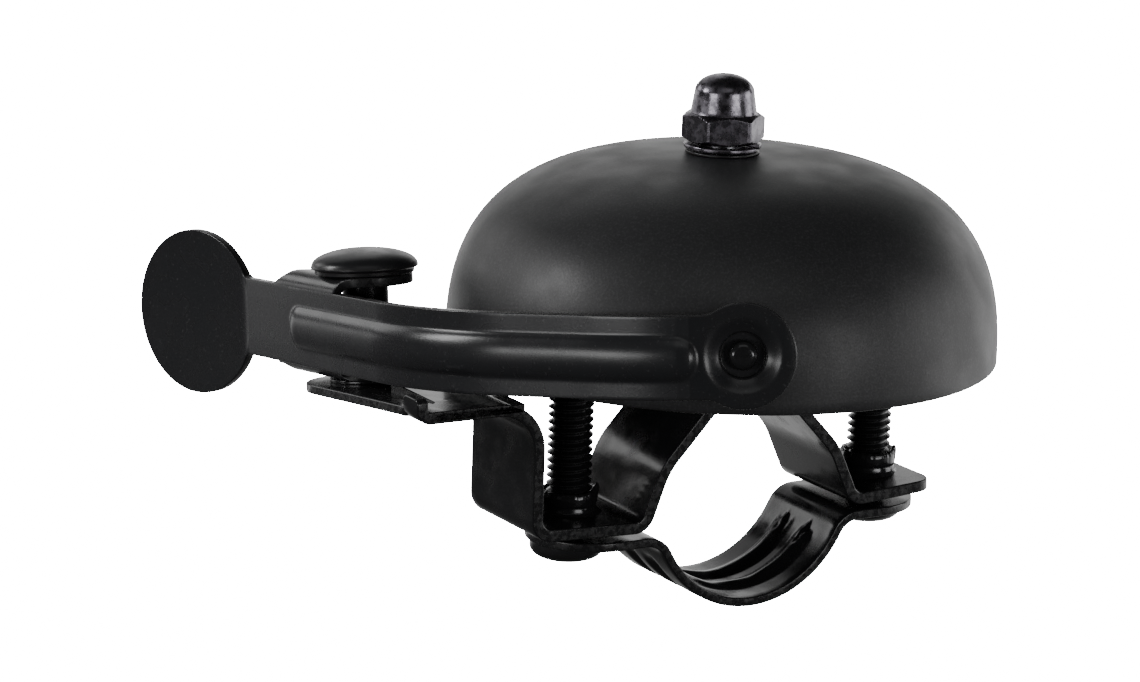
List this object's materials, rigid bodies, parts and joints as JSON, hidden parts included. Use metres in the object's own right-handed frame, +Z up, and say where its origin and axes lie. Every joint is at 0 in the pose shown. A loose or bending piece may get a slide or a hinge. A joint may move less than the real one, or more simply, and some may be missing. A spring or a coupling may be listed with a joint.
{
  "type": "bicycle bell",
  "caption": "Black striker bicycle bell: domed gong on a bent-sheet bracket, spring-returned thumb lever with striker disc, and a strap clamp with two screws for a round handlebar.",
  "frame": {"origin": "on the handlebar's axis, straight below the middle of the dome, halfway along the clamp's width", "axes": "+Y along the handlebar, +X across it towards the clamp's tongue, +Z up through the dome and the acorn nut"},
  "size_m": [0.0744, 0.0863, 0.0577],
  "materials": {
    "dome_coat": "satin black powder coat on a pressed steel dome",
    "black_nickel": "glossy black nickel plate",
    "fibre": "black fibre or nylon washer",
    "zinc": "zinc-plated turned steel",
    "bracket_coat": "semi-gloss black coat with lighter sheared edges",
    "screw_black": "glossy black plated steel",
    "lever_coat": "satin black coat",
    "spring_steel": "bare spring wire"
  },
  "bodies": {
    "bracket": {"bracket": "bracket_coat", "bell_dome": "dome_coat", "acorn_nut": "black_nickel", "spring_washer": "black_nickel", "plain_washer": "black_nickel", "cushion_washer": "fibre", "centre_post": "zinc", "pivot_pin": "lever_coat", "pivot_bush": "screw_black", "pivot_washer": "screw_black", "rivet_washer": "screw_black", "torsion_spring": "spring_steel"},
    "lever": {"striker_lever": "lever_coat", "striker_pin": "screw_black"},
    "clamp": {"lower_strap": "bracket_coat", "clamp_screw_left": "screw_black", "clamp_screw_right": "screw_black"}
  },
  "joints": [
    {"name": "lever_pivot", "type": "hinge", "parent": "bracket", "child": "lever", "pos_m": [-0.034, 0.0178, 0.017], "axis": [0, 0.1236, 0.9923], "range_deg": [-25, 1.3], "stiffness_Nm_per_rad": 0.1, "deforming": ["torsion_spring"]},
    {"name": "clamp_slide", "type": "slide", "parent": "bracket", "child": "clamp", "axis": [0, 0, 1], "range_m": [-0.006, 0]}
  ]
}
